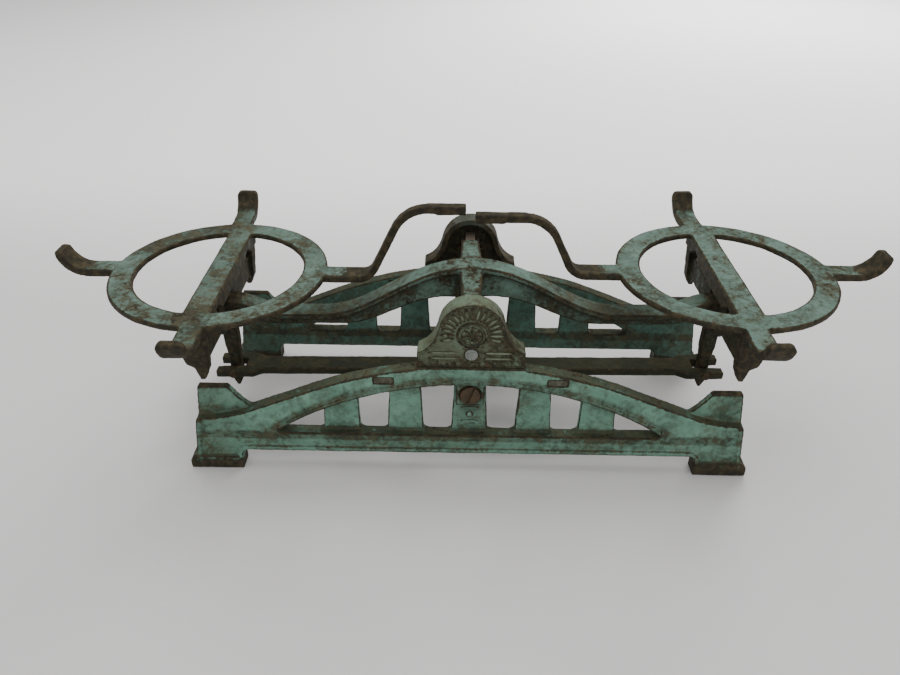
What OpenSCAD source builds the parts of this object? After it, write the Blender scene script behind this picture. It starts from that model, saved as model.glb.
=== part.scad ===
// Equal-arm counter balance with an open cast-iron frame, shown with its two pans lifted off.
// +X points right, +Y to the rear, +Z up. The origin is on the resting plane, midway between the feet.

/* [Knives] */
// Distance between the left and the right knife line
knife_span = 300; // [296:1:304]
// Height of the three knife lines above the resting plane
knife_z = 97; // [96:0.5:98]
// Height of each steel knife from its back to its edge
knife_h = 7; // [6:0.5:7]
// Free play left between a knife edge and the bottom of its groove
knife_play = 0.05; // [0.02:0.01:0.1]

/* [Resting pose] */
// Angle at which the unloaded beam rests, left side down
rest_tilt = 0.8; // [0:0.1:1.5]

/* [Side frames] */
// Distance between the outer faces of the two side frames
frame_gauge = 121.4; // [119:0.2:124]
// Depth of the thick bands of a side frame, front to back
band_depth = 10; // [9:0.5:12]
// Thickness of the posts and of the stop ears
plate_t = 4; // [3:0.5:4.5]
// Height of the stop ears
ear_z = 56.6; // [54:0.2:57]
// Half length of the frame at the top of the ears
ear_half = 155.8; // [154:0.2:158]
// Outward slope of the frame ends
end_slope = 0.14; // [0.1:0.01:0.16]
// Height of the top of the arch
crest_z = 76; // [76:0.5:77]
// Radius of the upper edge of the arch
arch_r = 234; // [230:1:240]
// Distance from the centre at which the upper edge of the arch runs on straight
arch_straight_x = 90; // [86:1:94]
// Height of the lower edge of the arch at the centre
soffit_z = 64.6; // [64:0.2:66]
// Radius of the lower edge of the arch
soffit_r = 195; // [190:1:198]
// Height of the window sills, which is the top of the lower chord
sill_z = 26.5; // [25:0.5:28]
// Height of the underside of the lower chord
chord_z = 14; // [12:0.5:15]
// Distance from the centre to the inner side of a foot
foot_in = 135; // [133:0.5:137]
// Distance from the centre to the outer end of a foot pad
pad_half = 166.6; // [165.5:0.1:167]

/* [Bearing housings] */
// Radius of the domed top of a housing
dome_r = 18.2; // [17.5:0.1:18.5]
// Height of the centre of the domed top
dome_z = 97; // [96.5:0.5:97.5]
// Half width of the foot of a housing
bell_half = 29.8; // [29:0.2:31]
// Wall thickness of a housing
bell_wall = 3.5; // [3:0.1:3.8]
// Depth of a housing, front to back
bell_depth = 11.2; // [10.5:0.1:11.5]

/* [Beam] */
// Width of the flat top of the beam
beam_w = 14; // [13:0.5:14.5]
// Thickness of the flat top of the beam
beam_t = 4; // [3.5:0.5:4.5]
// Thickness of the web under the flat top
beam_web = 5; // [4:0.5:6]

/* [Pan carriers] */
// Outer radius of the pan ring
ring_r = 63.5; // [62:0.5:64]
// Inner radius of the pan ring
ring_in_r = 49.3; // [48:0.1:50]
// Thickness of the pan ring and its crossbar
ring_t = 3.4; // [3:0.1:4]
// Width of the crossbar
crossbar_w = 15; // [14:0.5:16]
// Width of the arms that hold the pan
arm_w = 13; // [12:0.5:14]
// Distance from the ring centre to where the outer arm turns up
outer_arm = 78; // [77:0.5:80]
// Distance from the ring centre to where the front and rear arms turn up
cross_arm = 77; // [75:0.5:78]
// Reach of the arm in front of the ring, to where its end starts to curl
front_arm = 80; // [79:0.5:82]
// Height that the left pointer climbs above its arm
left_pointer_rise = 43.4; // [41:0.2:45]
// Height that the right pointer climbs above its arm
right_pointer_rise = 34.4; // [34:0.2:37]
// Distance from the middle of the balance to the tip of the left pointer
left_tip_gap = 4; // [3:0.5:6]
// Distance from the middle of the balance to the tip of the right pointer
right_tip_gap = 1.5; // [1:0.5:3]

/* [Stay] */
// Height of the stay, which is the lower link of the parallelogram
stay_z = 34.5; // [34:0.5:35]
// Width of the stay
stay_w = 14; // [13:0.5:14.5]
// Thickness of the stay
stay_t = 5; // [4.5:0.5:5.5]

/* [Hidden] */

$fn = 48;
paint = "#6fa295";
paint_dark = "#4f7a6f";
rust = "#6b4a33";
steel = "#8a8379";
lead = "#a9b0b0";
dark_iron = "#4a4436";

half_span = knife_span / 2;
face_y = -frame_gauge / 2;
back_y = face_y + band_depth;
plate_y = back_y - plate_t;
face_recess = 1.2;

// Side frame
arch_turn = asin(arch_straight_x / arch_r);
straight_z = crest_z - arch_r * (1 - cos(arch_turn));
notch_x = 127;
notch_z = straight_z - (notch_x - arch_straight_x) * tan(arch_turn);
ear_in_x = 138.6;
pad_z = 9.5;
pad_proud = 1;
seat_z = 75;
seat_half = 30.5;
bead_w = 3;
foot_fillet = 5;
window_corner = 3;
window_half = 112;
screw_z = 57.3;
boss_half = 8;
boss_low_z = 49.5;
screw_d = 6.8;
screw_hole_d = 7;
screw_head_d = 11.3;
screw_head_t = 3.4;
inset_x = 43.5;
inset_w = 10.5;
inset_z = 64;
inset_h = 3.9;
inset_depth = 2;
dowel_d = 4;
dowel_z = [53, 61.6];
dowel_x = 5.2;

// Bearing housing
bell_y = face_y + 3.5;
bell_in_y = bell_y + bell_depth;
bell_floor = 4;
shoulder_z = 84.5;
tongue_t = 3;
tongue_half = 9;
tongue_low_z = 48;
tie_y = back_y + tongue_t;
pillar_half = 8;
pillar_z = 95;
block_half = 6;
block_low_z = 91.5;
block_top_z = 99.5;
plug_d = 7;
plug_z = 83.2;
medallion_z = 95.7;

// Tie
tie_low_z = 48;
tie_top_z = 68;
tie_half = 5;
flange_t = 5;
lug_in_y = 8;
lug_t = 4.5;
lug_r = 7;
pivot_d = 5;
pivot_play = 0.05;

// Beam
saddle_z = knife_z - knife_h;
end_top_z = 86;
end_low_z = 73;
shelf_x = [-4, 9];
shelf_y = [24, 44];
shelf_t = 1.7;
tail_x = [4.6, 9];
tail_z = 79;
centre_arm_y = 37;
centre_knife_y = [24, 51.5];
centre_knife_back_z = knife_z + 7.5;
crest_top_z = 109.5;
waist_top_z = 77.3;
waist_x = 90;
waist_low_z = 68;

// Pan carrier
ring_z = 104.6;
web_x = [-2, 1.5];
web_z = 67;
web_y = 57;
lip_x = [-7.2, -4.2];
lip_z = 94;
window_y = [20, 49];
window_z = 87;
hatch_half = 9;
leg_y = [51, 58];
leg_tip_z = 66;
stem_half_y = 3.5;
pin_d = 3;
stem_hole_d = 4;
curl_r = 15;
curl_turn = 85;
tip_w = 13.6;
tip_r = 3.5;
front_arm_lean = 1.5;
rod_t = 4.4;
rod_w = 6;
bend_low_r = 10;
bend_top_r = 22;
bend_turn = 64;
bend_start = 84;
arm_shift = 3;
rear_arm_lean = 2.5;
carrier_bearing_y = [24, 44];
bearing_cheek = 2.2;
groove_half = 60;
knife_y = [26, 42];

// Stay
prong_half = 10.7;
slot_half = 4.2;
slot_x = half_span - 7;
prong_x = half_span + 11;

// Points of a circular arc from angle a0 to a1, in n steps
function arc(cx, cz, r, a0, a1, n) =
    [for (i = [0:n]) [cx + r * cos(a0 + (a1 - a0) * i / n), cz + r * sin(a0 + (a1 - a0) * i / n)]];

// Points of a curve that leaves p0 towards p1 and arrives at p2 from p1, in n steps
function bend(p0, p1, p2, n) =
    [for (i = [0:n]) let (t = i / n) (1 - t) * (1 - t) * p0 + 2 * t * (1 - t) * p1 + t * t * p2];

// Smooth step from 0 to 1 as x goes from a to b
function ease(x, a, b) = let (t = min(1, max(0, (x - a) / (b - a)))) t * t * (3 - 2 * t);

// Distance from the centre to the outer edge of a frame at height z
function end_x(z) = ear_half + (ear_z - z) * end_slope;

// Height of the top and of the underside of the beam at a distance x from the centre
function beam_top(x) = x < waist_x
    ? (crest_top_z + waist_top_z) / 2 + (crest_top_z - waist_top_z) / 2 * cos(180 * pow(x / waist_x, 1.1))
    : waist_top_z + (end_top_z - waist_top_z) * ease(x, 116, half_span - 4);
function beam_low(x) = x < 80
    ? 77.8 + 9.8 * cos(180 * min(1, max(0, (x - 14) / 66)))
    : waist_low_z + (end_low_z - waist_low_z) * ease(x, 120, half_span - 2);

// Extrudes an outline drawn in X and Z from y0 to y1
module slab(y0, y1) {
    translate([0, y1, 0]) rotate([90, 0, 0]) linear_extrude(y1 - y0) children();
}

// Extrudes an outline drawn in Y and Z from x0 to x1
module rail(x0, x1) {
    translate([x0, 0, 0]) rotate([90, 0, 90]) linear_extrude(x1 - x0) children();
}

// A round bar or bore along Y
module round_y(x, z, d, y0, y1) {
    translate([x, y1, z]) rotate([90, 0, 0]) cylinder(d = d, h = y1 - y0);
}

// Places a piece of the beam at the resting angle
module on_beam() {
    translate([0, 0, knife_z]) rotate([0, -rest_tilt, 0]) translate([0, 0, -knife_z]) children();
}

// Places a piece of the stay at the resting angle
module on_stay() {
    translate([0, 0, stay_z]) rotate([0, -rest_tilt, 0]) translate([0, 0, -stay_z]) children();
}

// Places a piece of a carrier where the resting beam holds it: side is -1 for the left, 1 for the right
module on_carrier(side) {
    translate([side * half_span * (cos(rest_tilt) - 1), 0, side * half_span * sin(rest_tilt)]) children();
}

module both_sides() {
    children();
    mirror([1, 0, 0]) children();
}

module front_and_rear() {
    children();
    mirror([0, 1, 0]) children();
}

// Upper edge of the arch from the centre to the notch beside the ear
function arch_edge() = concat(
    arc(0, crest_z - arch_r, arch_r, 90, 90 - arch_turn, 14), [[notch_x, notch_z]]);

// Foot and underside of the lower chord, from the outer edge back to the centre
function foot_edge() = concat(
    [[end_x(pad_z), pad_z], [end_x(pad_z), 0], [foot_in, 0]],
    arc(foot_in - foot_fillet, chord_z - foot_fillet, foot_fillet, 0, 90, 5),
    [[0, chord_z]]);

// Half of the thin plate, with its stop ear
module plate_outline() {
    polygon(concat(arch_edge(),
        bend([notch_x, notch_z], [132.5, 46.8], [ear_in_x, ear_z], 6),
        [[ear_half, ear_z]], foot_edge()));
}

// Half of the thick bands, whose upper edge sweeps on below the ear
module band_outline() {
    sweep_end = end_x(36);
    sweep_r = (sweep_end - notch_x) / sin(arch_turn);
    difference() {
        polygon(concat(arch_edge(),
            arc(sweep_end, notch_z + sweep_r * cos(arch_turn), sweep_r, -90 - arch_turn, -90, 8),
            foot_edge()));
        arch_opening();
    }
}

// The space under the arch and above the sill
module arch_opening() {
    intersection() {
        translate([0, soffit_z - soffit_r]) circle(r = soffit_r, $fn = 180);
        translate([-1, sill_z]) square([window_half + 1, 50]);
    }
}

// A window that narrows downwards, with rounded lower corners
module window(top_a, low_a, low_b, top_b) {
    polygon(concat([[top_b, 70], [top_a, 70]],
        arc(low_a + window_corner, sill_z + window_corner, window_corner, 180, 270, 4),
        arc(low_b - window_corner, sill_z + window_corner, window_corner, 270, 360, 4)));
}

module windows() {
    intersection() {
        union() {
            window(8.5, 10.5, 26.8, 28.5);
            window(45.4, 47.8, 63.9, 64.8);
            window(83.2, 85.3, window_half + 12, window_half + 12);
        }
        arch_opening();
    }
}

// Half of the raised beads that edge the bands
module bead_outline() {
    intersection() {
        difference() {
            translate([0, soffit_z - soffit_r]) circle(r = soffit_r + bead_w, $fn = 180);
            translate([0, soffit_z - soffit_r]) circle(r = soffit_r, $fn = 180);
        }
        translate([-1, sill_z]) square([window_half + 1, 50]);
    }
    polygon(concat([[0, chord_z]],
        arc(foot_in - foot_fillet, chord_z - foot_fillet, foot_fillet, 90, 0, 5),
        [[foot_in, 0], [foot_in + bead_w, 0]],
        arc(foot_in - foot_fillet, chord_z - foot_fillet, foot_fillet + bead_w, 0, 90, 5),
        [[0, chord_z + bead_w]]));
    polygon([
        [end_x(pad_z) - bead_w, pad_z], [end_x(pad_z), pad_z],
        [end_x(36), 36], [end_x(36) - bead_w, 36]]);
}

module pad_outline() {
    polygon(concat([[foot_in, 0], [pad_half, 0]],
        arc(pad_half - 5, pad_z - 5, 5, 0, 90, 6), [[foot_in + 2, pad_z], [foot_in, pad_z - 2]]));
}

module side_frame() {
    difference() {
        union() {
            both_sides() {
                slab(plate_y, back_y) difference() {
                    plate_outline();
                    windows();
                }
                slab(face_y + face_recess, back_y) band_outline();
                slab(face_y, back_y) bead_outline();
                slab(face_y - pad_proud, back_y) pad_outline();
            }
            slab(face_y + face_recess, back_y)
                translate([-boss_half, boss_low_z]) square([2 * boss_half, seat_z - boss_low_z]);
            slab(face_y + face_recess, back_y)
                translate([-seat_half, 70]) square([2 * seat_half, seat_z - 70]);
        }
        slab(face_y - 1, back_y + 1) translate([-seat_half, seat_z]) square([2 * seat_half, 10]);
        round_y(0, screw_z, screw_hole_d, face_y - 1, back_y + 1);
        round_y(0, screw_z, screw_head_d + 0.6, face_y - 1, face_y + face_recess + 2);
        for (i = [0, 1])
            round_y((2 * i - 1) * dowel_x, dowel_z[i], dowel_d, back_y - 3, back_y + 1);
        both_sides()
            slab(face_y - 1, face_y + face_recess + inset_depth)
                translate([inset_x, inset_z]) square([inset_w, inset_h]);
    }
}

module front_side_frame() {
    color(paint) side_frame();
}

module rear_side_frame() {
    color(paint) rotate([0, 0, 180]) side_frame();
}

// Half outline of a housing, drawn smaller by inset and standing on z0
module bell_outline(inset, z0) {
    r = dome_r - inset;
    side = [r * cos(14), dome_z + r * sin(14)];
    polygon(concat([[0, z0], [bell_half - inset, z0]],
        bend([bell_half - inset, shoulder_z - inset / 2], [20.3 - inset, 88], side, 8),
        arc(0, dome_z, r, 14, 90, 12)));
}

module bearing_housing() {
    difference() {
        union() {
            both_sides() slab(bell_y, bell_in_y) difference() {
                bell_outline(0, seat_z);
                bell_outline(bell_wall, seat_z + bell_floor);
            }
            both_sides() slab(bell_y, bell_y + bell_wall) bell_outline(0, seat_z);
            both_sides() slab(bell_y - 0.8, bell_y + 1) difference() {
                bell_outline(0, seat_z);
                bell_outline(1.6, seat_z + 1.6);
            }
            round_y(0, medallion_z, 12, bell_y - 1, bell_y + 1);
            slab(bell_y + bell_wall - 1, bell_in_y - 1)
                translate([-pillar_half, seat_z]) square([2 * pillar_half, pillar_z - seat_z]);
            slab(back_y, back_y + tongue_t)
                translate([-tongue_half, tongue_low_z]) square([2 * tongue_half, seat_z + 1 - tongue_low_z]);
        }
        slab(bell_y + bell_wall, bell_in_y + 1)
            translate([-block_half, block_low_z]) square([2 * block_half, 10]);
        round_y(0, plug_z, plug_d, bell_y - 2, bell_y + 2);
        round_y(0, screw_z, screw_hole_d, back_y - 1, back_y + tongue_t + 1);
        for (i = [0, 1])
            round_y((2 * i - 1) * dowel_x, dowel_z[i], dowel_d, back_y - 1, back_y + tongue_t + 1);
    }
}

module front_bearing_housing() {
    color("#7f8466") bearing_housing();
}

module rear_bearing_housing() {
    color("#6f8a7c") rotate([0, 0, 180]) bearing_housing();
}

// Steel block with an open groove that carries a knife edge
module pivot_bearing() {
    color(steel) slab(bell_y + bell_wall, bell_in_y - 1) polygon([
        [-block_half, block_low_z], [block_half, block_low_z], [block_half, block_top_z],
        [(block_top_z - knife_z) * tan(groove_half), block_top_z], [0, knife_z],
        [-(block_top_z - knife_z) * tan(groove_half), block_top_z], [-block_half, block_top_z]]);
}

module front_pivot_bearing() {
    pivot_bearing();
}

module rear_pivot_bearing() {
    mirror([0, 1, 0]) pivot_bearing();
}

module centre_tie() {
    color(paint_dark) difference() {
        union() {
            slab(tie_y, -tie_y)
                translate([-tie_half, tie_low_z]) square([2 * tie_half, tie_top_z - tie_low_z]);
            front_and_rear() {
                slab(tie_y, tie_y + flange_t)
                    translate([-tongue_half, tie_low_z]) square([2 * tongue_half, tie_top_z - tie_low_z]);
                slab(lug_in_y, lug_in_y + lug_t) {
                    translate([0, stay_z]) circle(r = lug_r);
                    translate([-lug_r, stay_z]) square([2 * lug_r, tie_low_z + 2 - stay_z]);
                }
            }
        }
        round_y(0, stay_z, pivot_d, -20, 20);
        for (turn = [0, 180]) rotate([0, 0, turn]) {
            round_y(0, screw_z, screw_d, tie_y - 1, tie_y + 14);
            for (i = [0, 1])
                round_y((2 * i - 1) * dowel_x, dowel_z[i], dowel_d, tie_y - 1, tie_y + 4);
        }
    }
}

// Two slotted screws that clamp frame, housing and tie together
module tie_screws() {
    color(rust) for (turn = [0, 180]) rotate([0, 0, turn]) difference() {
        union() {
            round_y(0, screw_z, screw_d, face_y + face_recess + 1, tie_y + 13);
            round_y(0, screw_z, screw_head_d,
                face_y + face_recess + 2 - screw_head_t, face_y + face_recess + 2);
        }
        translate([0, face_y + face_recess + 2 - screw_head_t, screw_z]) rotate([0, -70, 0])
            cube([20, 2.8, 1.7], center = true);
    }
}

// Four short dowels that keep the tie and the housings from turning
module tie_dowels() {
    color(steel) for (turn = [0, 180]) rotate([0, 0, turn]) for (i = [0, 1])
        round_y((2 * i - 1) * dowel_x, dowel_z[i], dowel_d, back_y - 3, tie_y + 4);
}

// Four soft-metal insets in the pockets of the arches
module frame_insets() {
    color(lead) for (turn = [0, 180]) rotate([0, 0, turn]) both_sides()
        slab(face_y + face_recess + inset_depth - 1.4, face_y + face_recess + inset_depth)
            translate([inset_x, inset_z]) square([inset_w, inset_h]);
}

module housing_seal_plug() {
    color(lead) round_y(0, plug_z, plug_d, bell_y - 0.4, bell_y + 2);
}

module stay_pivot_pin() {
    color(steel) round_y(0, stay_z, pivot_d, -lug_in_y - lug_t - 1.5, lug_in_y + lug_t + 1.5);
}

// Outline in X and Z between the top of the beam lowered by a and the height given by low
module beam_profile(a, to_web) {
    reach = half_span + tail_x[1];
    step = reach / 40;
    polygon(concat(
        [for (i = [-40:40]) [i * step, beam_top(abs(i * step)) - a]],
        [for (i = [40:-1:-40]) [i * step,
            to_web ? beam_low(abs(i * step))
                : max(beam_top(abs(i * step)) - beam_t, beam_low(abs(i * step)))]]));
}

// Crosspiece at the right end of the beam, which lies outside the carrier web, with its two knife shelves
module beam_tail() {
    translate([half_span, 0, 0]) {
        slab(-shelf_y[1], shelf_y[1]) polygon([
            [tail_x[0], tail_z], [tail_x[1], tail_z], [tail_x[1], saddle_z], [tail_x[0], saddle_z]]);
        front_and_rear() slab(shelf_y[0], shelf_y[1]) polygon([
            [shelf_x[0], saddle_z - shelf_t], [tail_x[0] + 1, saddle_z - shelf_t],
            [tail_x[0] + 1, saddle_z], [shelf_x[0], saddle_z]]);
    }
}

// Tapered arms that carry the middle knives
module beam_cross_arms() {
    intersection() {
        front_and_rear() linear_extrude(120) polygon([
            [-6.8, -1], [6.8, -1], [6.6, 7], [5, centre_arm_y], [-5, centre_arm_y], [-6.6, 7]]);
        rail(-10, 10) polygon([
            [-centre_arm_y, knife_z + 1.5], [-8, knife_z - 2],
            [8, knife_z - 2], [centre_arm_y, knife_z + 1.5],
            [centre_arm_y, knife_z + 9.5], [7, knife_z + 11.4],
            [-7, knife_z + 11.4], [-centre_arm_y, knife_z + 9.5]]);
    }
}

module beam() {
    color(paint) on_beam() difference() {
        union() {
            slab(-beam_w / 2, beam_w / 2) beam_profile(0, false);
            slab(-beam_web / 2, beam_web / 2) beam_profile(1, true);
            both_sides() beam_tail();
            beam_cross_arms();
        }
        front_and_rear() slab(centre_knife_y[0], centre_arm_y + 1)
            translate([-3, knife_z - 10]) square([6, centre_knife_back_z - knife_z + 10]);
    }
}

// Middle knife with its edge down
module centre_knife() {
    color(steel) on_beam() slab(-centre_knife_y[1], -centre_knife_y[0]) polygon([
        [0, knife_z + knife_play], [3, knife_z + 5.2], [3, centre_knife_back_z],
        [-3, centre_knife_back_z], [-3, knife_z + 5.2]]);
}

module front_centre_knife() {
    centre_knife();
}

module rear_centre_knife() {
    mirror([0, 1, 0]) centre_knife();
}

// End knife with its edge up, for the right rear corner
module end_knife() {
    color(steel) translate([half_span, 0, 0]) slab(knife_y[0], knife_y[1]) polygon([
        [-3.5, saddle_z], [3.5, saddle_z], [0, knife_z - knife_play]]);
}

module left_front_knife() {
    on_beam() rotate([0, 0, 180]) end_knife();
}

module left_rear_knife() {
    on_beam() mirror([1, 0, 0]) end_knife();
}

module right_front_knife() {
    on_beam() mirror([0, 1, 0]) end_knife();
}

module right_rear_knife() {
    on_beam() end_knife();
}

// Steel block under the crossbar whose groove rides on an end knife, for the right rear corner
module carrier_bearing() {
    low = knife_z - bearing_cheek;
    in_x = lip_x[1];
    groove = bearing_cheek * tan(groove_half);
    color(steel) translate([half_span, 0, 0]) slab(carrier_bearing_y[0], carrier_bearing_y[1]) polygon([
        [in_x, ring_z - ring_t], [in_x, low], [-groove, low], [0, knife_z],
        [groove, low], [-in_x, low], [-in_x, ring_z - ring_t]]);
}

module left_front_bearing() {
    on_carrier(-1) rotate([0, 0, 180]) carrier_bearing();
}

module left_rear_bearing() {
    on_carrier(-1) mirror([1, 0, 0]) carrier_bearing();
}

module right_front_bearing() {
    on_carrier(1) mirror([0, 1, 0]) carrier_bearing();
}

module right_rear_bearing() {
    on_carrier(1) carrier_bearing();
}

// An arm along +X whose end curls up and widens to a tip with rounded corners
module pan_arm(reach) {
    mid_z = ring_z - rod_t / 2;
    half = rod_t / 2;
    end_x = reach + curl_r + half + 1;
    top_z = mid_z + curl_r - (curl_r - half) * cos(curl_turn);
    intersection() {
        slab(-tip_w / 2, tip_w / 2) polygon(concat(
            [[ring_in_r + 4, mid_z + half], [ring_in_r + 4, mid_z - half]],
            arc(reach, mid_z + curl_r, curl_r + half, -90, -90 + curl_turn, 10),
            arc(reach, mid_z + curl_r, curl_r - half, -90 + curl_turn, -90, 10)));
        linear_extrude(160) polygon([
            [0, -arm_w / 2], [reach, -arm_w / 2], [reach + curl_r - half, -tip_w / 2], [end_x, -tip_w / 2],
            [end_x, tip_w / 2], [reach + curl_r - half, tip_w / 2], [reach, arm_w / 2], [0, arm_w / 2]]);
        rotate([90, 0, 90]) linear_extrude(end_x) hull() {
            translate([-tip_w / 2, 0]) square([tip_w, ring_z]);
            for (side = [-1, 1])
                translate([side * (tip_w / 2 - tip_r), top_z - tip_r]) circle(r = tip_r);
        }
    }
}

// The arm along -X that bends up into a gooseneck pointer and ends at tip_x
module pointer(rise, tip_x) {
    mid_z = ring_z - rod_t / 2;
    half = rod_t / 2;
    climb = (rise - (bend_low_r + bend_top_r) * (1 - cos(bend_turn))) / sin(bend_turn);
    top_x = bend_start + (bend_low_r + bend_top_r) * sin(bend_turn) + climb * cos(bend_turn);
    low_arc = arc(bend_start, mid_z + bend_low_r, bend_low_r + half, -90, -90 + bend_turn, 8);
    low_back = arc(bend_start, mid_z + bend_low_r, bend_low_r - half, -90 + bend_turn, -90, 8);
    top_under = arc(top_x, mid_z + rise - bend_top_r, bend_top_r - half, 90 + bend_turn, 90, 10);
    top_over = arc(top_x, mid_z + rise - bend_top_r, bend_top_r + half, 90, 90 + bend_turn, 10);
    mirror([1, 0, 0]) intersection() {
        slab(-arm_w / 2, arm_w / 2) polygon(concat([[ring_in_r + 4, mid_z - half]], low_arc, top_under,
            [[tip_x - 18, mid_z + rise - half], [tip_x - 16, mid_z + rise - half - 1],
             [tip_x, mid_z + rise - half - 0.6], [tip_x, mid_z + rise + half]],
            top_over, low_back, [[ring_in_r + 4, mid_z + half]]));
        linear_extrude(160) polygon([
            [50, -arm_w / 2], [bend_start, -arm_w / 2],
            [bend_start + 12, -rod_w / 2], [tip_x + 1, -rod_w / 2],
            [tip_x + 1, rod_w / 2], [bend_start + 12, rod_w / 2],
            [bend_start, arm_w / 2], [50, arm_w / 2]]);
    }
}

// Web under the crossbar: a hatch for the end of the beam, two windows over a sill, and a lip in front
module carrier_web() {
    under_z = ring_z - ring_t;
    rail(web_x[0], web_x[1]) difference() {
        translate([-web_y, web_z]) square([2 * web_y, under_z + 1 - web_z]);
        for (side = [-1, 1]) {
            translate([side * (window_y[0] + window_y[1]) / 2 - (window_y[1] - window_y[0]) / 2, window_z])
                square([window_y[1] - window_y[0], under_z - window_z]);
            polygon([[side * 13, web_z - 1], [side * 21, 73], [side * 47, 73], [side * 52, web_z - 1]]);
        }
        translate([-hatch_half, end_low_z - 5]) square([2 * hatch_half, end_top_z + 5 - end_low_z + 5]);
    }
    rail(lip_x[0], lip_x[1]) difference() {
        translate([-web_y, lip_z]) square([2 * web_y, under_z + 1 - lip_z]);
        for (side = [-1, 1])
            translate([side * (window_y[0] + window_y[1]) / 2, lip_z - 4]) circle(r = 9);
    }
}

// Leg that hangs over the stop ears of the frame
module carrier_leg() {
    slab(leg_y[1] - 4, leg_y[1]) polygon([
        [-6.5, ring_z - 3], [8.5, ring_z - 3], [9, 80], [7.6, 76], [3, 73.5], [-3.4, 73.5], [-5, 82]]);
    slab(leg_y[0], leg_y[1]) polygon([
        [-6, ring_z - 3], [3.6, ring_z - 3], [3.6, 76], [3, 72],
        [1.2, leg_tip_z], [-1.2, leg_tip_z], [-4, 72]]);
}

// Stem that reaches down into the forked end of the stay
module carrier_stem() {
    slab(-stem_half_y, stem_half_y) difference() {
        polygon([[-4.5, 72], [4.5, 72], [4.5, 52], [3.5, 44], [3.5, 27], [0.8, 21], [-0.8, 21],
            [-3.5, 27], [-3.5, 44], [-4.5, 52]]);
        translate([0, stay_z]) circle(d = stem_hole_d);
    }
}

module pan_carrier(rise, tip_gap, rear_lean, front_lean) {
    color(paint) {
        translate([0, 0, ring_z - ring_t]) difference() {
            union() {
                difference() {
                    cylinder(r = ring_r, h = ring_t, $fn = 128);
                    translate([0, 0, -1]) cylinder(r = ring_in_r, h = ring_t + 2, $fn = 128);
                }
                translate([-crossbar_w / 2, -ring_in_r - 4, 0]) cube([crossbar_w, 2 * ring_in_r + 8, ring_t]);
            }
        }
        translate([0, arm_shift, 0]) pan_arm(outer_arm);
        rotate([0, 0, 90 + rear_lean]) pan_arm(cross_arm);
        rotate([0, 0, 270 + front_lean]) pan_arm(front_arm);
        pointer(rise, half_span - tip_gap);
        carrier_web();
        front_and_rear() carrier_leg();
        carrier_stem();
    }
}

module left_pan_carrier() {
    on_carrier(-1) mirror([1, 0, 0]) translate([half_span, 0, 0])
        pan_carrier(left_pointer_rise, left_tip_gap, -rear_arm_lean, -front_arm_lean);
}

module right_pan_carrier() {
    on_carrier(1) translate([half_span, 0, 0])
        pan_carrier(right_pointer_rise, right_tip_gap, rear_arm_lean, -front_arm_lean);
}

module stay() {
    color(dark_iron) on_stay() difference() {
        union() {
            translate([0, 0, stay_z - stay_t / 2]) linear_extrude(stay_t) {
                translate([-slot_x, -stay_w / 2]) square([2 * slot_x, stay_w]);
                both_sides() polygon([
                    [slot_x - 11, -stay_w / 2], [slot_x - 5, -prong_half], [prong_x, -prong_half],
                    [prong_x, prong_half], [slot_x - 5, prong_half], [slot_x - 11, stay_w / 2]]);
            }
            round_y(0, stay_z, 11, -stay_w / 2 - 0.5, stay_w / 2 + 0.5);
        }
        both_sides() translate([slot_x, -slot_half, stay_z - 10]) cube([30, 2 * slot_half, 20]);
        round_y(0, stay_z, pivot_d + 2 * pivot_play, -20, 20);
        both_sides() round_y(half_span, stay_z, pin_d, -20, 20);
    }
}

// Pin across a forked end of the stay, headed at both ends
module stem_pin() {
    color(steel) {
        round_y(half_span, stay_z, pin_d, -prong_half - 0.5, prong_half + 0.5);
        front_and_rear() round_y(half_span, stay_z, pin_d + 1.6, prong_half, prong_half + 0.9);
    }
}

module left_stem_pin() {
    on_stay() mirror([1, 0, 0]) stem_pin();
}

module right_stem_pin() {
    on_stay() stem_pin();
}

front_side_frame();
rear_side_frame();
front_bearing_housing();
rear_bearing_housing();
front_pivot_bearing();
rear_pivot_bearing();
centre_tie();
tie_screws();
tie_dowels();
frame_insets();
housing_seal_plug();
stay_pivot_pin();
beam();
front_centre_knife();
rear_centre_knife();
left_front_knife();
left_rear_knife();
right_front_knife();
right_rear_knife();
left_pan_carrier();
left_front_bearing();
left_rear_bearing();
right_pan_carrier();
right_front_bearing();
right_rear_bearing();
stay();
left_stem_pin();
right_stem_pin();
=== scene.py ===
import bpy
import bmesh
import math
from mathutils import Matrix, Vector


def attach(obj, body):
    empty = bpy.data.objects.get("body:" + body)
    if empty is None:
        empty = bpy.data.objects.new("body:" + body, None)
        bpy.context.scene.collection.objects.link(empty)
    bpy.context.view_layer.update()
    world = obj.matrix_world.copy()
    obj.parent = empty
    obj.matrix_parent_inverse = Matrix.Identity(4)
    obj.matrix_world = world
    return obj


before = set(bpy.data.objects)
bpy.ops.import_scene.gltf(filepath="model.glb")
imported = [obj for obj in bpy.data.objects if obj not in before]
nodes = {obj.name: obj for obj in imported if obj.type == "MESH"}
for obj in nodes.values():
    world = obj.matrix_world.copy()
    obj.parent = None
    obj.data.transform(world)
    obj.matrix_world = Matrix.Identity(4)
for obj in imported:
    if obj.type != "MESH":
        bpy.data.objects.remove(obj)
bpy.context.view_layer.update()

# ---------------------------------------------------------------- camera
# Fitted to the photograph: place in metres, pitch counted downwards, yaw from +Y towards +X.
CAM_AT = Vector((-0.00972, -0.38873, 0.31639))
CAM_YAW = math.radians(-0.36)
CAM_PITCH = math.radians(33.8)
CAM_ROLL = math.radians(0.70)
CAM_LENS = 29.66
SENSOR_W = 36.0
NEAR_CLIP = 0.01


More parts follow.
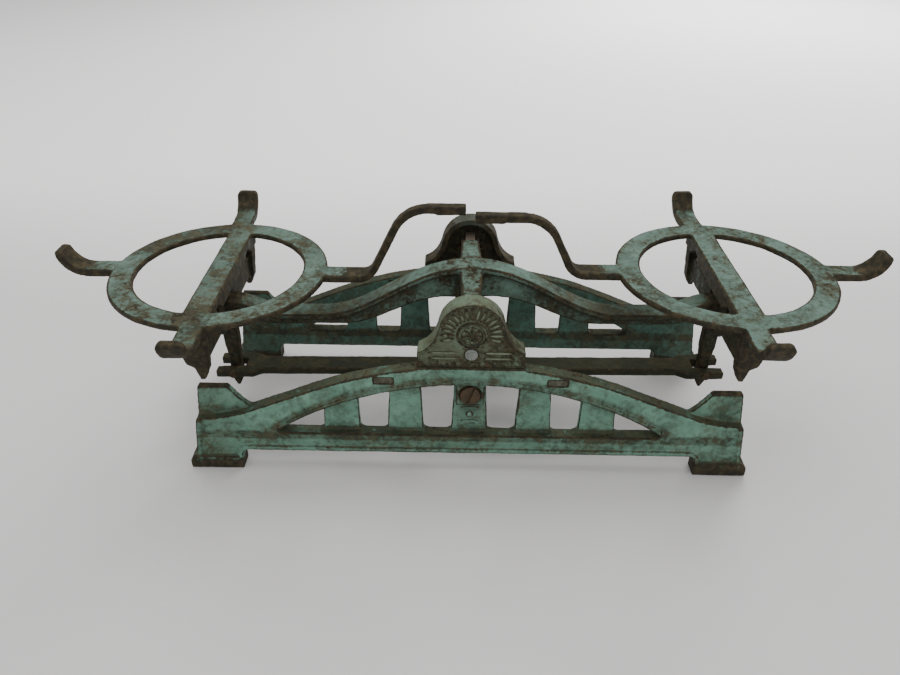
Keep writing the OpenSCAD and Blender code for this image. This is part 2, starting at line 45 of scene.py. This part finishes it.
def add_camera():
    ahead = math.cos(CAM_PITCH)
    forward = Vector((math.sin(CAM_YAW) * ahead, math.cos(CAM_YAW) * ahead, -math.sin(CAM_PITCH)))
    level = Vector((math.cos(CAM_YAW), -math.sin(CAM_YAW), 0.0))
    rise = level.cross(forward)
    right = math.cos(CAM_ROLL) * level + math.sin(CAM_ROLL) * rise
    up = math.cos(CAM_ROLL) * rise - math.sin(CAM_ROLL) * level
    data = bpy.data.cameras.new("camera")
    data.lens = CAM_LENS
    data.sensor_width = SENSOR_W
    data.clip_start = NEAR_CLIP
    cam = bpy.data.objects.new("camera", data)
    turn = Matrix((right, up, -forward)).transposed().to_4x4()
    cam.matrix_world = Matrix.Translation(CAM_AT) @ turn
    bpy.context.scene.collection.objects.link(cam)
    bpy.context.scene.camera = cam


add_camera()


# ---------------------------------------------------------------- node helpers
class Graph:
    """A short way to write the shader nodes of one new material."""

    def __init__(self, name):
        self.mat = bpy.data.materials.new(name)
        self.mat.use_nodes = True
        self.tree = self.mat.node_tree
        self.bsdf = self.tree.nodes["Principled BSDF"]
        self.place = self.tree.nodes.new("ShaderNodeTexCoord").outputs["Object"]
        geometry = self.tree.nodes.new("ShaderNodeNewGeometry")
        self.sharpness = geometry.outputs["Pointiness"]
        self.x, self.y, self.z = self.split(self.place)
        self.nz = self.split(geometry.outputs["Normal"])["Z"]

    def split(self, vector):
        n = self.tree.nodes.new("ShaderNodeSeparateXYZ")
        self.link(vector, n.inputs[0])
        return n.outputs

    def link(self, a, b):
        self.tree.links.new(a, b)

    def put(self, socket, value):
        """Set a socket to a number or a colour, or feed it from another node."""
        if isinstance(value, (int, float)):
            socket.default_value = value
        elif isinstance(value, tuple):
            socket.default_value = (*value, 1.0)
        else:
            self.link(value, socket)

    def math(self, op, a, b=0.0, c=0.0, clamp=False):
        n = self.tree.nodes.new("ShaderNodeMath")
        n.operation = op
        n.use_clamp = clamp
        for s, v in zip(n.inputs, (a, b, c)):
            self.put(s, v)
        return n.outputs[0]

    def times(self, a, b):
        return self.math("MULTIPLY", a, b)

    def plus(self, a, amount, b):
        """a times amount, plus b."""
        return self.math("MULTIPLY_ADD", a, amount, b)

    def most(self, *masks):
        out = masks[0]
        for m in masks[1:]:
            out = self.math("MAXIMUM", out, m)
        return out

    def off(self, value, middle=0.0):
        """How far value is from middle, either way."""
        if middle:
            value = self.math("SUBTRACT", value, middle)
        return self.math("ABSOLUTE", value)

    def reach(self, middle_z):
        """Distance, seen from the front, to the point of the middle line at height middle_z."""
        rise = self.math("SUBTRACT", self.z, middle_z)
        return self.math("SQRT", self.math("ADD", self.times(self.x, self.x), self.times(rise, rise)))

    def upright(self, low, high):
        """1 on faces that stand upright and 0 on level ones: low and high are slopes, as for step."""
        return self.step(self.off(self.nz), low, high)

    def step(self, value, low, high):
        """0 at low, 1 at high, smooth between; low may be above high."""
        n = self.tree.nodes.new("ShaderNodeMapRange")
        n.interpolation_type = "SMOOTHSTEP"
        flip = low > high
        self.put(n.inputs["Value"], value)
        n.inputs["From Min"].default_value = min(low, high)
        n.inputs["From Max"].default_value = max(low, high)
        n.inputs["To Min"].default_value = 1.0 if flip else 0.0
        n.inputs["To Max"].default_value = 0.0 if flip else 1.0
        return n.outputs[0]

    def noise(self, scale, detail, rough, seed, distort=0.0):
        n = self.tree.nodes.new("ShaderNodeTexNoise")
        n.noise_dimensions = "4D"
        self.link(self.place, n.inputs["Vector"])
        n.inputs["W"].default_value = seed
        n.inputs["Scale"].default_value = scale
        n.inputs["Detail"].default_value = detail
        n.inputs["Roughness"].default_value = rough
        n.inputs["Distortion"].default_value = distort
        return n.outputs["Fac"]

    def mix(self, fac, a, b):
        n = self.tree.nodes.new("ShaderNodeMix")
        n.data_type = "RGBA"
        self.put(n.inputs["Factor"], fac)
        self.put(n.inputs["A"], a)
        self.put(n.inputs["B"], b)
        return n.outputs["Result"]

    def crevice(self, reach):
        """1 in corners and under ledges, 0 in the open; reach is how far off the other wall may be."""
        n = self.tree.nodes.new("ShaderNodeAmbientOcclusion")
        n.samples = CREVICE_RAYS
        n.inputs["Distance"].default_value = reach
        return self.math("SUBTRACT", 1.0, n.outputs["AO"], clamp=True)

    def bump(self, height, depth, strength):
        n = self.tree.nodes.new("ShaderNodeBump")
        n.inputs["Strength"].default_value = strength
        n.inputs["Distance"].default_value = depth
        self.link(height, n.inputs["Height"])
        self.link(n.outputs["Normal"], self.bsdf.inputs["Normal"])


# ---------------------------------------------------------------- old paint and old steel
IRON = (0.021, 0.0195, 0.0125)
RUST = (0.062, 0.048, 0.025)
IRON_SPECKS = (0.070, 0.064, 0.042)
# the two browns of the film: dirt, and painted shade where the film follows corners and ledges
DIRT_AND_SHADE_DARK = (0.024, 0.022, 0.012)
DIRT_AND_SHADE_PALE = (0.060, 0.051, 0.026)
PAINT_PORES = (0.020, 0.018, 0.011)
STEEL_PORES = (0.020, 0.015, 0.010)
CREVICE_RAYS = 6
WIDE_CORNER = 0.008
TIGHT_CORNER = 0.0025
PAINT_DEPTH = 0.00032
STEEL_DEPTH = 0.00022


def old_paint(name, pale, deep, seed, bare=None, film_mask=None, *, loss, film):
    """Paint over cast iron: chipped, rubbed off the edges and under a film of dirt, with painted shade
    browning the corners and the faces under ledges.

    bare adds a mask of lost paint, and the mask after it one of thick brown film; on the carriers and the beam
    these masks also put painted shade on faces that stand upright. loss and film say how much lost paint and
    dirt there is elsewhere.
    """
    g = Graph(name)
    broad = g.noise(32.0, 4.0, 0.55, seed)
    patch = g.noise(135.0, 7.0, 0.66, seed + 1.7, 0.35)
    chips = g.noise(560.0, 6.0, 0.68, seed + 3.1)
    grain = g.noise(2300.0, 3.0, 0.6, seed + 5.2)
    edge = g.step(g.sharpness, 0.506, 0.540)
    # painted shade: the occlusion masks below brown the corners and the faces under ledges
    wide_corner_shade = g.times(g.step(g.crevice(WIDE_CORNER), 0.08, 0.55), 0.75)
    corner_shade = g.most(wide_corner_shade, g.step(g.crevice(TIGHT_CORNER), 0.10, 0.42))

    # the paint is lost where the sum below passes this level; on the carriers and the beam the sum also holds
    # painted shade on upright faces
    level = 1.66 - 0.55 * loss
    loss_score = g.plus(patch, 0.95, g.times(chips, 0.65))
    loss_score = g.plus(broad, 0.6, loss_score)
    loss_score = g.plus(edge, 0.46, loss_score)
    # the carriers' and the beam's masks here also hold painted shade on upright faces
    if bare is not None:
        loss_score = g.plus(bare(g), 0.75, loss_score)
    lost = g.step(loss_score, level - 0.016, level + 0.020)

    tone = g.math("MULTIPLY_ADD", g.noise(64.0, 5.0, 0.62, seed + 8.0), 1.9, -0.45, clamp=True)
    paint = g.mix(tone, deep, pale)

    # a thin brown film of dirt over the paint, round the chips and where the second mask says; in corners and
    # under ledges the same brown is painted shade
    streak = g.noise(230.0, 5.0, 0.6, seed + 13.0, 0.6)
    dirt_and_shade = g.plus(streak, 0.80, g.plus(broad, 0.65, g.times(chips, 0.25)))
    dirt_and_shade = g.times(g.step(dirt_and_shade, 0.72, 1.04), film)
    # painted shade: the film is added in corners and under ledges
    dirt_and_shade = g.plus(corner_shade, 0.85, dirt_and_shade)
    dirt_and_shade = g.plus(g.step(loss_score, level - 0.22, level), 0.40, dirt_and_shade)
    # the carriers' mask here also holds painted shade on upright faces
    if film_mask is not None:
        dirt_and_shade = g.plus(film_mask(g), g.plus(patch, 1.2, 0.15), dirt_and_shade)
    dirt_and_shade = g.math("MINIMUM", dirt_and_shade, 0.92)
    brown = g.mix(g.step(patch, 0.40, 0.62), DIRT_AND_SHADE_DARK, DIRT_AND_SHADE_PALE)
    paint = g.mix(dirt_and_shade, paint, brown)

    metal = g.mix(g.step(g.noise(240.0, 5.0, 0.65, seed + 11.0), 0.40, 0.66), IRON, RUST)
    metal = g.mix(g.times(g.step(grain, 0.5, 0.75), 0.18), metal, IRON_SPECKS)
    colour = g.mix(lost, paint, metal)
    colour = g.mix(g.times(g.step(grain, 0.62, 0.30), 0.28), colour, PAINT_PORES)
    g.link(colour, g.bsdf.inputs["Base Color"])

    shine = g.plus(chips, 0.30, 0.36)
    g.link(g.plus(g.most(lost, dirt_and_shade), 0.20, shine), g.bsdf.inputs["Roughness"])
    g.bsdf.inputs["Specular IOR Level"].default_value = 0.20
    coat = g.plus(lost, -0.60, g.times(grain, 0.30))
    g.bump(g.plus(chips, 0.40, coat), PAINT_DEPTH, 0.9)
    return g.mat


def old_steel(name, dark, rust, seed, bright=(0.20, 0.17, 0.14)):
    """Bare metal dulled by rust, rubbed brighter on its edges."""
    g = Graph(name)
    cloud = g.noise(260.0, 6.0, 0.65, seed)
    grain = g.noise(1800.0, 4.0, 0.6, seed + 2.0)
    colour = g.mix(g.step(cloud, 0.38, 0.66), dark, rust)
    colour = g.mix(g.times(g.step(g.sharpness, 0.52, 0.6), 0.5), colour, bright)
    colour = g.mix(g.times(g.step(grain, 0.6, 0.35), 0.4), colour, STEEL_PORES)
    g.link(colour, g.bsdf.inputs["Base Color"])
    g.bsdf.inputs["Metallic"].default_value = 0.15
    g.bsdf.inputs["Specular IOR Level"].default_value = 0.30
    g.link(g.plus(cloud, 0.35, 0.36), g.bsdf.inputs["Roughness"])
    g.bump(g.plus(grain, 0.5, cloud), STEEL_DEPTH, 0.8)
    return g.mat


# ---------------------------------------------------------------- where the paint has gone
# Places on the part, in metres. A pair says where a mask is 0 and where it is full.
HALF_SPAN = 0.150
FOOT_Z = (0.013, 0.004)
EAR_X, EAR_Z = (0.122, 0.132), (0.0535, 0.0565)
POCKET_X, POCKET_Z = 0.04875, 0.06595
POCKET_HALF_W, POCKET_HALF_H = (0.0064, 0.0056), (0.0029, 0.0022)
SILL_TOP, SILL_FOOT = (0.0300, 0.0272), (0.0205, 0.0232)
CHORD_TOP = (0.029, 0.025)
SOFFIT_R = 0.195
SOFFIT_CENTRE_Z = 0.0646 - SOFFIT_R
BEAD_R = SOFFIT_R + 0.0022
BEAD_HALF, BEAD_Z, BEAD_END_X = (0.0044, 0.0012), (0.024, 0.029), (0.128, 0.112)
SCREW_Z, SCREW_RING = 0.0573, (0.013, 0.007)
LEFT_END_X, RIGHT_END_X, POST_X = (-0.116, -0.150), (0.128, 0.150), (0.046, 0.020)
POINTER_X, OUTER_ARM_X, ARM_TIP_Y = (0.080, 0.066), (0.226, 0.240), (0.078, 0.092)
RING_UNDER_Z, WEB_HALF = (0.0985, 0.092), (0.011, 0.007)
RING_BACK_Y, LEFT_RING_X = (0.010, 0.055), (-0.120, -0.160)
CREST_X, BEAM_ARM_X, BEAM_END_X = (0.036, 0.012), (0.030, 0.060), (0.136, 0.150)
HOUSING_SKIRT_Z, HOUSING_CROWN_Z = (0.086, 0.078), (0.113, 0.107)


def frame_bare(g):
    """Paint is thin on the feet, on faces that look up, on the ears and in the pockets of the insets."""
    ax = g.off(g.x)
    foot = g.times(g.step(g.z, *FOOT_Z), 0.75)
    top = g.times(g.step(g.nz, 0.55, 0.9), 0.30)
    ear = g.times(g.step(g.z, *EAR_Z), g.step(ax, *EAR_X))
    pocket = g.times(g.step(g.off(ax, POCKET_X), *POCKET_HALF_W), g.step(g.off(g.z, POCKET_Z), *POCKET_HALF_H))
    return g.most(foot, top, g.times(ear, 0.6), g.times(pocket, 0.9))


def frame_soil(g):
    """Dirt lies thick on ledges, along the bead, round the screw, on the lower chord, at the ends and
    round the centre post."""
    ax = g.off(g.x)
    sill = g.times(g.step(g.z, *SILL_TOP), g.step(g.z, *SILL_FOOT))
    chord = g.most(g.times(sill, 0.80), g.times(g.step(g.z, *CHORD_TOP), 0.30))
    bead = g.step(g.off(g.reach(SOFFIT_CENTRE_Z), BEAD_R), *BEAD_HALF)
    bead = g.times(g.times(bead, g.step(g.z, *BEAD_Z)), g.upright(0.75, 0.45))
    bead = g.times(bead, g.step(ax, *BEAD_END_X))
    screw = g.step(g.reach(SCREW_Z), *SCREW_RING)
    left = g.times(g.step(g.x, *LEFT_END_X), 0.50)
    right = g.times(g.step(g.x, *RIGHT_END_X), 0.30)
    middle = g.times(g.step(ax, *POST_X), 0.26)
    ledge = g.times(g.step(g.nz, 0.35, 0.75), 0.98)
    return g.most(chord, g.times(bead, 0.72), g.times(screw, 0.6), left, right, middle, ledge)


def carrier_bare(g):
    """Pointers and arm tips have almost lost their paint, and the legs and web nearly so; faces that stand
    upright show more metal as painted shade.
    """
    ax = g.off(g.x)
    pointer = g.step(ax, *POINTER_X)
    outer = g.step(ax, *OUTER_ARM_X)
    tips = g.step(g.off(g.y), *ARM_TIP_Y)
    under = g.times(g.step(g.z, *RING_UNDER_Z), 0.22)
    # painted shade: faces that stand upright show more metal
    side = g.times(g.upright(0.7, 0.35), 0.30)
    return g.most(pointer, outer, tips, under, side)


def carrier_soil_and_shade(g):
    """Dirt darkens the back of the left ring and the left web; the brown on all faces that stand upright is
    painted shade.
    """
    back = g.times(g.step(g.y, *RING_BACK_Y), g.step(g.x, *LEFT_RING_X))
    # painted shade: faces that stand upright get the brown film
    side = g.times(g.upright(0.7, 0.3), 0.6)
    left_bar = g.step(g.off(g.x, -HALF_SPAN), *WEB_HALF)
    return g.most(g.times(back, 0.8), side, g.times(left_bar, 0.42))


def beam_bare(g):
    """The crest is rubbed, the ends are rusty, and faces that stand upright show a little metal as painted
    shade.
    """
    ax = g.off(g.x)
    crest = g.times(g.step(ax, *CREST_X), 0.26)
    ends = g.step(ax, *BEAM_END_X)
    # painted shade: faces that stand upright show a little metal
    side = g.times(g.upright(0.7, 0.3), 0.16)
    return g.most(crest, ends, side)


def beam_soil(g):
    """The arms are dirtier than the middle."""
    return g.times(g.step(g.off(g.x), *BEAM_ARM_X), 0.55)


def housing_bare(g):
    """The skirt has lost more paint than the bell."""
    return g.times(g.step(g.z, *HOUSING_SKIRT_Z), 0.20)


def rear_housing_bare(g):
    """Only the crown keeps its paint."""
    return g.times(g.step(g.z, *HOUSING_CROWN_Z), 0.45)


# name, the paler and the deeper of two tones, seed, masks of lost paint and of dirt (on the carriers and the
# beam also painted shade), then the amounts of each
materials = {
    "front_frame": old_paint("front_frame_paint", (0.205, 0.385, 0.292), (0.100, 0.222, 0.160), 1.0,
                             frame_bare, frame_soil, loss=0.38, film=0.55),
    # painted shade: the rear frame gets a darker copy of the front frame's paint
    "rear_frame": old_paint("rear_frame_shaded_paint", (0.105, 0.215, 0.168), (0.045, 0.108, 0.082), 21.0,
                            frame_bare, frame_soil, loss=0.38, film=0.65),
    "front_housing": old_paint("front_housing_paint", (0.142, 0.215, 0.152), (0.074, 0.064, 0.029), 41.0,
                               housing_bare, None, loss=0.74, film=0.85),
    # painted shade: the rear bell gets a darker copy of the front bell's paint
    "rear_housing": old_paint("rear_housing_shaded_paint", (0.098, 0.118, 0.092), (0.030, 0.036, 0.026), 45.0,
                              rear_housing_bare, None, loss=0.86, film=0.80),
    "relief": old_paint("relief_paint", (0.185, 0.235, 0.160), (0.110, 0.125, 0.070), 51.0,
                        None, None, loss=0.26, film=0.42),
    # painted shade: the rear relief gets a darker copy of the front relief's paint
    "rear_relief": old_paint("rear_relief_shaded_paint", (0.105, 0.125, 0.085), (0.050, 0.058, 0.036), 55.0,
                             None, None, loss=0.45, film=0.60),
    "beam": old_paint("beam_paint", (0.150, 0.240, 0.198), (0.070, 0.122, 0.094), 61.0,
                      beam_bare, beam_soil, loss=0.58, film=0.58),
    "carrier": old_paint("carrier_paint", (0.138, 0.215, 0.180), (0.074, 0.122, 0.096), 81.0,
                         carrier_bare, carrier_soil_and_shade, loss=0.74, film=0.66),
    "tie": old_paint("tie_paint", (0.080, 0.120, 0.090), (0.040, 0.064, 0.046), 101.0, loss=0.6, film=0.6),
    "stay": old_paint("stay_paint", (0.028, 0.033, 0.020), (0.014, 0.017, 0.010), 121.0, loss=0.80, film=0.5),
    "screw": old_steel("screw_rust", (0.042, 0.028, 0.014), (0.085, 0.052, 0.025), 141.0, (0.13, 0.10, 0.06)),
    "knife": old_steel("knife_steel", (0.050, 0.040, 0.030), (0.085, 0.052, 0.030), 161.0),
    "lead": old_steel("soft_metal", (0.230, 0.250, 0.230), (0.130, 0.140, 0.118), 181.0, (0.34, 0.36, 0.34)),
    "inset": old_steel("dull_inset", (0.048, 0.046, 0.028), (0.125, 0.125, 0.090), 191.0, (0.15, 0.15, 0.12)),
}


# ---------------------------------------------------------------- CAD nodes: finish and soft cast edges
# UNEVEN, PITS and WORN: size of the noise, and how far it moves the surface, in metres
UNEVEN = (0.012, 0.0005)
PITS = (0.0022, 0.00022)
WORN = (0.0016, 0.00025)
BROKEN_EDGE = 0.0003
WELD_GAP = 0.00001


def dress(node, material):
    o = nodes[node]
    o.data.materials.clear()
    o.data.materials.append(materials[material])
    return o


def swell(o, name, size, amount):
    """A slow unevenness of the surface, as on a sand casting."""
    tex = bpy.data.textures.new(name, "CLOUDS")
    tex.noise_scale = size
    tex.noise_depth = 2
    m = o.modifiers.new(name, "DISPLACE")
    m.texture = tex
    m.texture_coords = "LOCAL"
    m.strength = amount
    m.mid_level = 0.5


def cast(node, material, voxel, rounds):
    """Soft cast edges: one skin of small voxels, smoothed, then made uneven and pitted."""
    o = dress(node, material)
    m = o.modifiers.new("skin", "REMESH")
    m.mode = "VOXEL"
    m.voxel_size = voxel
    m.use_smooth_shade = True
    m = o.modifiers.new("soften", "SMOOTH")
    m.factor = 0.5
    m.iterations = rounds
    swell(o, node + "_uneven", *UNEVEN)
    swell(o, node + "_pits", *PITS)


def machined(node, material):
    """Edges just broken."""
    o = dress(node, material)
    m = o.modifiers.new("join", "WELD")
    m.merge_threshold = WELD_GAP
    m = o.modifiers.new("edges", "BEVEL")
    m.width = BROKEN_EDGE
    m.segments = 2
    m.limit_method = "ANGLE"
    m.angle_limit = math.radians(35)


cast("front_side_frame", "front_frame", voxel=0.00065, rounds=3)
cast("rear_side_frame", "rear_frame", voxel=0.00065, rounds=3)
cast("front_bearing_housing", "front_housing", voxel=0.0005, rounds=3)
cast("rear_bearing_housing", "rear_housing", voxel=0.0005, rounds=3)
cast("beam", "beam", voxel=0.0006, rounds=4)
cast("left_pan_carrier", "carrier", voxel=0.0006, rounds=3)
cast("right_pan_carrier", "carrier", voxel=0.0006, rounds=3)
cast("centre_tie", "tie", voxel=0.0008, rounds=5)
cast("stay", "stay", voxel=0.0006, rounds=5)
for node in ("front_pivot_bearing", "rear_pivot_bearing", "front_centre_knife", "rear_centre_knife",
             "left_front_knife", "left_rear_knife", "right_front_knife", "right_rear_knife",
             "left_front_bearing", "left_rear_bearing", "right_front_bearing", "right_rear_bearing"):
    machined(node, "knife")
for node in ("tie_screws", "tie_dowels", "stay_pivot_pin", "left_stem_pin", "right_stem_pin"):
    machined(node, "screw")
machined("frame_insets", "inset")
machined("housing_seal_plug", "lead")


# ---------------------------------------------------------------- raised pattern, housings and centre post
MM = 0.001
BELL_FACE_Y = 57.2 * MM
MEDAL_FACE_Y = 58.2 * MM
MEDAL_Z = 95.7 * MM
POST_FACE_Y = 59.5 * MM
FAN_R, FLUTES = 13.6 * MM, 17
FAN_START, FAN_SWEEP = -12, 204
PETAL_R, PETALS = 3.6 * MM, 8


def lump(bm, at, width, length, height, turn=0.0):
    """A low raised oval on a face that looks along -Y.

    at is its middle in metres, the sizes are in millimetres and turn is its slant in the face.
    """
    ball = bmesh.ops.create_icosphere(bm, subdivisions=3, radius=0.5)
    flat = Matrix.Diagonal((width * MM, 2.0 * (height * MM), length * MM, 1.0))
    place = Matrix.Translation(at) @ Matrix.Rotation(turn, 4, "Y") @ flat
    bmesh.ops.transform(bm, verts=ball["verts"], matrix=place)


def hoop(bm, at, radius, wire):
    """A raised ring on the same face."""
    around, across = 48, 10
    x, y, z = at
    rows = []
    for i in range(around):
        a = 2 * math.pi * i / around
        row = []
        for k in range(across):
            c = 2 * math.pi * k / across
            out = radius + wire * math.cos(c)
            row.append(bm.verts.new((x + out * math.cos(a), y + wire * math.sin(c), z + out * math.sin(a))))
        rows.append(row)
    for i in range(around):
        for k in range(across):
            n, m = (i + 1) % around, (k + 1) % across
            bm.faces.new((rows[i][k], rows[i][m], rows[n][m], rows[n][k]))


def raised(name, build, material, behind=False):
    """A pattern as a piece of its own that rides the frame; behind turns it round to the back."""
    bm = bmesh.new()
    build(bm)
    if behind:
        bmesh.ops.rotate(bm, verts=bm.verts, cent=(0, 0, 0), matrix=Matrix.Rotation(math.pi, 3, "Z"))
    bmesh.ops.recalc_face_normals(bm, faces=bm.faces)
    mesh = bpy.data.meshes.new(name)
    bm.to_mesh(mesh)
    bm.free()
    for poly in mesh.polygons:
        poly.use_smooth = True
    o = bpy.data.objects.new(name, mesh)
    bpy.context.scene.collection.objects.link(o)
    mesh.materials.append(materials[material])
    swell(o, name + "_worn", *WORN)
    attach(o, "frame")


def bell_pattern(bm):
    """A fan of even flutes round a flower-like boss, over two plain rails."""
    for i in range(FLUTES):
        a = math.radians(FAN_START + FAN_SWEEP * i / (FLUTES - 1))
        at = (FAN_R * math.cos(a), -BELL_FACE_Y, MEDAL_Z + FAN_R * math.sin(a))
        lump(bm, at, width=1.8, length=8.2, height=0.95, turn=math.pi / 2 - a)
    hoop(bm, (0, -BELL_FACE_Y, MEDAL_Z), radius=7.9 * MM, wire=0.6 * MM)
    for i in range(PETALS):
        a = 2 * math.pi * i / PETALS
        at = (PETAL_R * math.cos(a), -MEDAL_FACE_Y, MEDAL_Z + PETAL_R * math.sin(a))
        lump(bm, at, width=1.7, length=3.8, height=0.7, turn=math.pi / 2 - a)
    lump(bm, (0, -MEDAL_FACE_Y, MEDAL_Z), width=2.8, length=2.8, height=1.0)
    for side in (-1, 1):
        for z in (80.8, 84.4):
            lump(bm, (side * 15.2 * MM, -BELL_FACE_Y, z * MM), width=18.0, length=1.5, height=0.8)


def post_pattern(bm):
    """A lozenge between two rails on the centre post, under its screw."""
    for z in (38.5, 48.3):
        lump(bm, (0, -POST_FACE_Y, z * MM), width=11.0, length=1.3, height=0.6)
    lump(bm, (0, -POST_FACE_Y, 43.4 * MM), width=4.6, length=4.6, height=0.8, turn=math.pi / 4)


raised("front_housing_pattern", bell_pattern, "relief")
raised("rear_housing_pattern", bell_pattern, "rear_relief", behind=True)
raised("front_post_ribs", post_pattern, "front_frame")
raised("rear_post_ribs", post_pattern, "rear_frame", behind=True)


# ---------------------------------------------------------------- floor and light
FLOOR_HALF = 6.0
# painted light: the floor turns paler behind the object, as a brightly lit backdrop would
NEAR_FLOOR, FAR_FLOOR_PAINTED_LIGHT = (0.60, 0.585, 0.58), (0.90, 0.89, 0.885)
PAINTED_LIGHT_FADE_Y = (0.10, 0.45)
WORLD_GLOW = 0.55


def floor_with_painted_light():
    """The table top, greyish in front of the object; its paler colour behind the object is painted light, as
    from a brightly lit backdrop.
    """
    mesh = bpy.data.meshes.new("floor")
    h = FLOOR_HALF
    mesh.from_pydata([(-h, -h, 0), (h, -h, 0), (h, h, 0), (-h, h, 0)], [], [(0, 1, 2, 3)])
    floor = bpy.data.objects.new("floor", mesh)
    bpy.context.scene.collection.objects.link(floor)
    g = Graph("floor")
    g.link(g.mix(g.step(g.y, *PAINTED_LIGHT_FADE_Y), NEAR_FLOOR, FAR_FLOOR_PAINTED_LIGHT), g.bsdf.inputs["Base Color"])
    g.bsdf.inputs["Roughness"].default_value = 0.42
    mesh.materials.append(g.mat)


def soft_lamp(name, at, aim, size, watts, gloss=True):
    """A square lamp at one point, aimed at another; without gloss it puts no sheen on level faces."""
    data = bpy.data.lights.new(name, "AREA")
    data.shape = "SQUARE"
    data.size = size
    data.energy = watts
    lamp = bpy.data.objects.new(name, data)
    lamp.location = at
    lamp.visible_glossy = gloss
    lamp.rotation_euler = (Vector(aim) - Vector(at)).to_track_quat("-Z", "Y").to_euler()
    bpy.context.scene.collection.objects.link(lamp)


floor_with_painted_light()
soft_lamp("ceiling", at=(-0.3, 0.35, 1.5), aim=(0, 0, 0), size=1.6, watts=20, gloss=False)
soft_lamp("front", at=(0.2, -1.4, 1.3), aim=(0, 0, 0.05), size=1.2, watts=12)
soft_lamp("far_wash", at=(0.7, 1.5, 0.8), aim=(0.5, 1.1, 0), size=0.9, watts=32, gloss=False)

world = bpy.data.worlds.new("studio")
bpy.context.scene.world = world
world.use_nodes = True
sky = world.node_tree.nodes["Background"]
sky.inputs["Color"].default_value = (1.0, 1.0, 1.0, 1)
sky.inputs["Strength"].default_value = WORLD_GLOW
